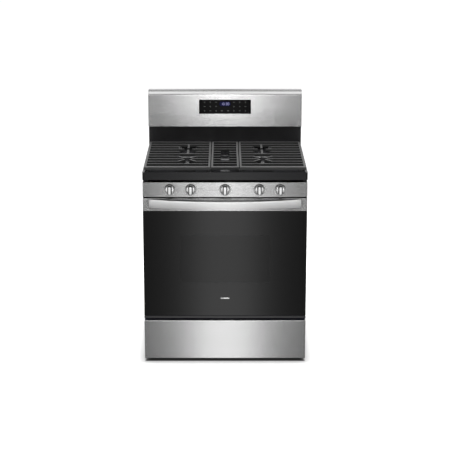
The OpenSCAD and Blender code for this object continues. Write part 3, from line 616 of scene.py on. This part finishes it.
def makeHandle():
    low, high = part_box("door_handle")
    halfWide, halfTall = high.x, (high.z - low.z) / 2
    middle = (low.z + high.z) / 2
    halfThick = handle["thick"] / 2
    radius = (halfWide ** 2 + handle["bow"] ** 2) / (2 * handle["bow"])
    limit = math.asin(halfWide / radius)
    rings = []
    for k in range(handle["steps"] + 1):
        share = 2 * k / handle["steps"] - 1  # -1 at the left end, 1 at the right
        a = limit * share
        toEnd = halfWide * (1 - abs(share))
        cut = handle["endCut"] * max(0, 1 - toEnd / handle["endReach"])
        tall = halfTall * (1 - handle["waist"] * (1 - share ** 2))
        points = []
        for u, v in roundedBox(halfThick - cut, tall - cut, handle["edge"] - cut, 6):
            crown = handle["crown"] * (1 - (v / tall) ** 2) if u > 0 else 0
            r = radius - halfThick + min(u, halfThick - handle["crown"]) + crown
            points.append((r * math.sin(a), low.y + radius - r * math.cos(a), middle + v))
        rings.append(points)
    band = bmesh.new()
    skin(band, rings)
    finish = brushedSteel("handleSteelPaintedLight", handlePaintedLightLook)
    piece = addPiece("handleBand", band, finish, "oven_door", handle["crease"])
    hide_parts("door_handle")
    brackets = bmesh.new()
    start = low.y + handle["bow"] + handle["sunk"]
    halfBracket = handle["bracket"] / 2
    for side in (-1, 1):
        midX = side * (halfWide - handle["inset"] - halfBracket)
        rings = []
        for share, grow in handle["levels"]:
            y = start + (high.y - start) * share
            outline = roundedBox(halfBracket + grow, halfTall - handle["shorter"] + grow, handle["corner"])
            rings.append([(midX + x, y, middle + z) for x, z in outline])
        skin(brackets, rings)
    addPiece("handleBrackets", brackets, finishes["steel_polished"], "oven_door")


# each burner is a ported head on a cup, under a domed cap; its levels are (out from the head's
# wall, up from the cooktop) for the foot, (out, up from the head's top) for the cap, and
# (radius, up from the cooktop or from the cup's bottom) for the cup
burner = {"ports": 30, "portsRound": 0.25, "portFacets": 6, "portDepth": 0.0022, "portFoot": 0.0066,
          "portTop": 0.0012, "wallTop": 0.0008, "shoulder": 0.0004, "capOver": 0.003,
          "under": (0.6, 0.004),
          "foot": ((0.004, -0.0005), (0.0065, 0.0002), (0.0068, 0.0014), (0.0052, 0.0024),
                   (0.0012, 0.0050), (0, 0.0062)),
          "cap": ((0.0018, 0), (0.003, 0.0012), (0.003, 0.0026), (0.0022, 0.0040), (0, 0.0052),
                  (-0.0045, 0.0061)),
          "dome": ((0.45, 0.0068), (0.93, 0.007)), "headCrease": 30, "capCrease": 50,
          "cup": {"facets": 48, "bottom": 0.013, "lower": (0.0155, 0.002), "upper": (0.016, 0.0004)}}


def separateBoxes(node, reach=0.012):  # plan boxes of the loose solids of one CAD node
    boxes = []
    for vertex in frame["nodes"][node].data.vertices:
        x, y = vertex.co.x, vertex.co.y
        joined = [x, y, x, y]
        for box in list(boxes):
            if box[0] - reach < x < box[2] + reach and box[1] - reach < y < box[3] + reach:
                boxes.remove(box)
                joined = [min(joined[0], box[0]), min(joined[1], box[1]),
                          max(joined[2], box[2]), max(joined[3], box[3])]
        boxes.append(joined)
    return sorted(boxes)


def stadium(radius, halfLength, count):  # points and outward directions round a long oval
    bend = math.pi * radius
    half = bend + 2 * halfLength
    found = []
    for k in range(count):
        secondHalf, along = divmod(2 * half * k / count, half)
        if along < halfLength:
            point, out = (radius, along), (1, 0)
        elif along < halfLength + bend:
            a = (along - halfLength) / radius
            out = (math.cos(a), math.sin(a))
            point = (radius * out[0], halfLength + radius * out[1])
        else:
            point, out = (-radius, half - along), (-1, 0)
        side = -1 if secondHalf else 1
        found.append((scaled(point, side), scaled(out, side)))
    return found


def ovalRing(oval, grow, z, portDepth=0):  # two in six of its points lie in a port
    points = []
    for k, ((x, y), (outX, outY)) in enumerate(oval):
        inPort = k % burner["portFacets"] in (2, 3)
        out = grow - portDepth if inPort else grow
        points.append((x + outX * out, y + outY * out, z))
    return points


def burnerHead(oval, radius, base, top):
    head = bmesh.new()
    inward, down = burner["under"]
    depth = burner["portDepth"]
    skin(head, [ovalRing(oval, -radius * inward, base - down),
                *(ovalRing(oval, out, base + up) for out, up in burner["foot"]),
                ovalRing(oval, 0, base + burner["portFoot"], depth),
                ovalRing(oval, 0, top - burner["portTop"], depth),
                ovalRing(oval, 0, top - burner["wallTop"]),
                ovalRing(oval, burner["shoulder"], top)])
    return head


def burnerCap(oval, radius, top):
    cap = bmesh.new()
    skin(cap, [*(ovalRing(oval, out, top + up) for out, up in burner["cap"]),
               *(ovalRing(oval, -radius * inward, top + up) for inward, up in burner["dome"])])
    return cap


def addCup(mesh, middle, bottom, base):
    cup = burner["cup"]
    lower, upper = cup["lower"], cup["upper"]
    skin(mesh, [circle(cup["bottom"], bottom, cup["facets"], middle),
                circle(lower[0], bottom + lower[1], cup["facets"], middle),
                circle(upper[0], base - upper[1], cup["facets"], middle)])


def makeBurners():
    low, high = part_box("burner_heads")
    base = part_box("grate_left")[0].z
    heads = bmesh.new()
    caps = bmesh.new()
    cups = bmesh.new()
    for x0, y0, x1, y1 in separateBoxes("burner_caps"):
        radius = (x1 - x0) / 2 - burner["capOver"]
        halfLength = max(0, (y1 - y0) / 2 - (x1 - x0) / 2)
        around = radius * 2 * math.pi + 4 * halfLength
        ports = round(burner["ports"] * around / burner["portsRound"])
        oval = stadium(radius, halfLength, ports * burner["portFacets"])
        middle = ((x0 + x1) / 2, (y0 + y1) / 2)
        for mesh, part in ((heads, burnerHead(oval, radius, base, high.z)),
                           (caps, burnerCap(oval, radius, high.z))):
            part.transform(Matrix.Translation((*middle, 0)))
            joinInto(mesh, part)
        addCup(cups, middle, low.z, base)
    joinInto(heads, cups)
    piece = addPiece("burnerHeads", heads, finishes["aluminium"], "range_body",
                     burner["headCrease"])
    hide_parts("burner_heads")
    piece = addPiece("burnerCaps", caps, finishes["enamel"], "range_body", burner["capCrease"])
    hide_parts("burner_caps")


# a clock in a dark window, and rows of touch marks with no lettering;
# a mark's bars are (up, half its width, half its height), the last two as shares of a key
display = {"time": "1030", "digit": (0.0062, 0.0115), "stroke": 0.0015, "pitch": 0.0098,
           "gap": 0.0018, "colonUp": 0.0025, "clockUp": 0.0145, "colour": (0.5, 0.5, 0.9),
           "window": (0.027, 0.0115), "windowThick": 0.00008, "windowColour": (0.03, 0.03, 0.2),
           "key": 0.0048, "keyColour": (0.6, 0.62, 0.60), "firstColumn": 0.044, "columnStep": 0.0285,
           "topRow": 0.023, "rowStep": 0.0215, "columns": 3, "rows": 3,
           "oneBar": ((0, 1, 0.16),), "twoBars": ((0.0012, 0.8, 0.13), (-0.0022, 0.5, 0.13)),
           "wideKey": (0.0155, 1.1, 0.3)}
segments = {"0": "abcdef", "1": "bc", "3": "abcdg"}
# where each segment lies, as shares of half a digit, and whether it is level
segmentPlaces = {"a": (0, 1, True), "g": (0, 0, True), "d": (0, -1, True), "f": (-1, 0.5, False),
                 "b": (1, 0.5, False), "e": (-1, -0.5, False), "c": (1, -0.5, False)}


def glow(name, shade, strength):
    lit = Finish(name, Emission_Strength=strength, Roughness=0.3, Specular_IOR_Level=0.05)
    cells = lit.noise(1400, 1)
    return lit.set(
        Base_Color=lit.shades(cells, shade, 0.06, 0.08),
        Emission_Color=lit.shades(cells, shade, 0.9, 1.0)).material


def plate(mesh, x, y, z, halfX, halfZ, thick=0.0002, sunk=0.0001, corner=0.7):
    outline = roundedBox(halfX, halfZ, min(halfX, halfZ) * corner, 3)
    skin(mesh, [[(x + u, y - out, z + v) for u, v in outline] for out in (-sunk, thick)])


def clockDigits(face, clockZ):
    digits = bmesh.new()
    wide, tall = display["digit"]
    stroke = display["stroke"] / 2
    for n, figure in enumerate(display["time"]):
        x = (n - 1.5) * display["pitch"] + (display["gap"] if n > 1 else -display["gap"])
        for name in segments[figure]:
            shareX, shareZ, level = segmentPlaces[name]
            halfX, halfZ = (wide / 2 - stroke, stroke) if level else (stroke, tall / 4 - stroke)
            plate(digits, x + shareX * wide / 2, face, clockZ + shareZ * tall / 2, halfX, halfZ)
    for side in (-1, 1):
        plate(digits, 0, face, clockZ + side * display["colonUp"], stroke, stroke)
    return digits


def touchMarks(face, middle):
    marks = bmesh.new()
    key = display["key"]
    for side in (-1, 1):
        for column in range(display["columns"]):
            x = side * (display["firstColumn"] + column * display["columnStep"])
            for row in range(display["rows"]):
                z = middle + display["topRow"] - row * display["rowStep"]
                bars = display["oneBar"] if (column + row) % 3 == 0 else display["twoBars"]
                for up, wide, tall in bars:
                    plate(marks, x, face, z + up, key * wide, key * tall)
    out, wide, tall = display["wideKey"]
    z = middle + display["topRow"] - (display["rows"] - 1) * display["rowStep"]
    for side in (-1, 1):  # two wider keys under the clock
        plate(marks, side * out, face, z, key * wide, key * tall)
    return marks


def makeDisplay():
    low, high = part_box("display_glass")
    face, middle = low.y, (low.z + high.z) / 2
    clockZ = middle + display["clockUp"]
    window = bmesh.new()
    plate(window, 0, face, clockZ, *display["window"], display["windowThick"])
    for name, mesh, finish in (
            ("clockDigits", clockDigits(face, clockZ), glow("clockGlow", display["colour"], 0.9)),
            ("clockWindow", window, glow("windowGlow", display["windowColour"], 0.1)),
            ("touchMarks", touchMarks(face, middle), glow("touchGlow", display["keyColour"], 0.13))):
        addPiece(name, mesh, finish, "range_body")


# a plain pill on the door's glass; its levels are (in from the edge, out from the glass)
pill = {"halfX": 0.021, "halfZ": 0.0026, "up": 0.085,
        "levels": ((0, -0.0001), (0, 0.0003), (0.0003, 0.0005))}


def makePill():
    low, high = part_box("door_glass")
    mesh = bmesh.new()
    rings = []
    for cut, out in pill["levels"]:
        outline = roundedBox(pill["halfX"] - cut, pill["halfZ"] - cut, pill["halfZ"] - cut)
        rings.append([(x, low.y - out, low.z + pill["up"] + z) for x, z in outline])
    skin(mesh, rings)
    addPiece("doorPill", mesh, finishes["steel_polished"], "oven_door")


def stageSheet(name, corners, material):
    data = bpy.data.meshes.new(name)
    data.from_pydata(corners, [], [(0, 1, 2, 3)])
    data.materials.append(material)
    sheet = bpy.data.objects.new(name, data)
    scene.collection.objects.link(sheet)
    return sheet


def levelSheet(halfWide, front, back, z):
    return [(-halfWide, front, z), (halfWide, front, z), (halfWide, back, z), (-halfWide, back, z)]


def uprightSheet(halfWide, y, bottom, top):
    return [(-halfWide, y, bottom), (halfWide, y, bottom), (halfWide, y, top), (-halfWide, y, top)]


# the floor shines evenly, but under the range and just around it a painted shadow darkens it to nearly black
floorLook = {"shine": 0.8, "pale": (0.86, 0.89), "under": 0.01, "paintedShadowEdge": (-0.012, 0.004),
             "paintedShadowFade": (-0.03, 0.08), "halfWide": 40, "front": -20, "back": 60}


def setFloor():
    floor = Finish("paleFloor", Emission_Strength=floorLook["shine"], Roughness=0.7)
    front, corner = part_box("drawer_front")[0].y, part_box("console_face")[1]
    middle, reach = (front + corner.y) / 2, (corner.y - front) / 2
    past = maths("MAXIMUM", abs(floor.axis("X")) - corner.x, abs(floor.axis("Y") - middle) - reach)
    pale = floor.mix(floor.noise(0.6, 2), *floorLook["pale"])
    # painted shadow: the colour goes nearly black under the range and the shine fades out around it
    floor.set(Base_Color=floor.mix(riseBetween(past, *floorLook["paintedShadowEdge"]), floorLook["under"], pale),
              Emission_Color=floor.mix(riseBetween(past, *floorLook["paintedShadowFade"]), 0.0, 1.0))
    corners = levelSheet(floorLook["halfWide"], floorLook["front"], floorLook["back"], 0)
    stageSheet("floor", corners, floor.material).visible_glossy = False


# what the metal and the glass mirror: a strip that leads away just under the floor, brighter far
# out, and then stands up, and a paler sheet behind the range; each pair says where something comes
# in, in metres ahead, or from the middle in backFade and, as shares of half the strip, in sidesOut
glowLook = {"base": 0.07, "peak": 1.18, "midPeak": 2.6, "farPeak": 4.8, "midFrom": (3.4, 5.0),
            "farFrom": (6.8, 8.8), "half": 0.182, "farHalf": 0.118, "narrows": (3.2, 5.8), "reach": 6.4,
            "sides": 1.3, "sidesOut": (4.8, 9.0), "sidesNear": 0.2, "sidesFrom": (3.5, 6.0),
            "band": 1.0, "bandHalf": 3.2, "bandFrom": (3.25, 3.7), "bandTo": (4.2, 4.8),
            "brightest": 5.0, "halfWide": 6, "end": -9.0, "under": -0.004, "top": 5,
            "back": 0.9, "backTop": 4, "backSides": 0.4, "backFade": (1.0, 6.0)}


def mirroredOnly(sheet):
    sheet.visible_camera = False
    sheet.visible_diffuse = False
    sheet.visible_shadow = False
    sheet.visible_transmission = False


def setGlow():
    card = Finish("frontGlow", Base_Color=(0, 0, 0, 1), Roughness=1.0, Emission_Strength=1.0)
    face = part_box("door_glass")[0].y
    y = card.axis("Y")
    ahead = -1 * y

    narrowing = (glowLook["farHalf"] - glowLook["half"]) * riseBetween(ahead, *glowLook["narrows"])
    half = (glowLook["half"] + narrowing) * (1 - (y - face) / glowLook["reach"])
    share = abs(card.axis("X")) / half
    midRise = (glowLook["midPeak"] - glowLook["peak"]) * riseBetween(ahead, *glowLook["midFrom"])
    farRise = (glowLook["farPeak"] - glowLook["midPeak"]) * riseBetween(ahead, *glowLook["farFrom"])
    strip = (glowLook["peak"] + midRise + farRise) / (1 + share ** 3)
    near = glowLook["sidesNear"]
    sidesIn = near + (1 - near) * riseBetween(ahead, *glowLook["sidesFrom"])
    sides = glowLook["sides"] * riseBetween(share, *glowLook["sidesOut"]) * sidesIn
    across = riseBetween(ahead, *glowLook["bandFrom"]) - riseBetween(ahead, *glowLook["bandTo"])
    band = glowLook["band"] * across / (1 + (share / glowLook["bandHalf"]) ** 4)  # for the bowed handle
    most = glowLook["brightest"]
    card.set(Emission_Color=card.mix((strip + sides + band + glowLook["base"]) / most, 0.0, most))

    halfWide, end, under = glowLook["halfWide"], glowLook["end"], glowLook["under"]
    mirroredOnly(stageSheet("floorGlow", levelSheet(halfWide, end, face, under), card.material))
    mirroredOnly(stageSheet("farGlow", uprightSheet(halfWide, end, under, glowLook["top"]), card.material))

    back = Finish("backGlow", Base_Color=(0, 0, 0, 1), Roughness=1.0, Emission_Strength=glowLook["back"])
    fade = riseBetween(abs(back.axis("X")), *glowLook["backFade"])
    back.set(Emission_Color=back.mix(fade, 1.0, glowLook["backSides"]))
    corners = uprightSheet(halfWide, -end, 0, glowLook["backTop"])
    mirroredOnly(stageSheet("backGlow", corners, back.material))


studio = {"world": 0.26, "worldSeen": 1.0, "lights": (
    {"name": "topSoft", "size": (4, 4), "power": 60, "place": (0, -0.6, 3.6), "aim": (0, 0, 0),
     "mirrored": True},
    {"name": "workSoft", "size": (2, 1.2), "power": 55, "place": (0, 0.2, 2.5), "aim": (0, 0.1, 0.9),
     "mirrored": False},
    {"name": "frontSoft", "size": (3, 2), "power": 25, "place": (0, -5.2, 3.0), "aim": (0, 0, 0.6),
     "mirrored": False})}


def addLight(look):
    data = bpy.data.lights.new(look["name"], "AREA")
    data.shape = "RECTANGLE"
    data.size, data.size_y = look["size"]
    data.energy = look["power"]
    light = bpy.data.objects.new(look["name"], data)
    light.location = look["place"]
    towards = Vector(look["aim"]) - Vector(look["place"])
    light.rotation_euler = towards.to_track_quat("-Z", "Y").to_euler()
    light.visible_camera = False
    light.visible_glossy = look["mirrored"]
    scene.collection.objects.link(light)


def setWorld():  # white to look at, but a dimmer light on the range
    world = bpy.data.worlds.new("studioWorld")
    world.use_nodes = True
    air = Nodes(world.node_tree)
    seen = air.node("ShaderNodeLightPath", out="Is Camera Ray")
    strength = air.node("ShaderNodeMix", None,
                        {"Factor": seen, "A": studio["world"], "B": studio["worldSeen"]}, "Result")
    background = world.node_tree.nodes["Background"]
    air.feed(background.inputs["Strength"], strength)
    air.feed(background.inputs["Color"], (1, 1, 1, 1))
    scene.world = world
    scene.view_settings.view_transform = "Standard"


setCamera()
dressNodes()
print("CAD nodes dressed")
for number in knobNumbers:
    makeKnob(number)
makeRings()
print("knobs made")
makeHandle()
print("handle made")
makeBurners()
print("burners made")
makeDisplay()
makePill()
print("display and pill made")
setFloor()
setGlow()
for light in studio["lights"]:
    addLight(light)
setWorld()
print("studio set")
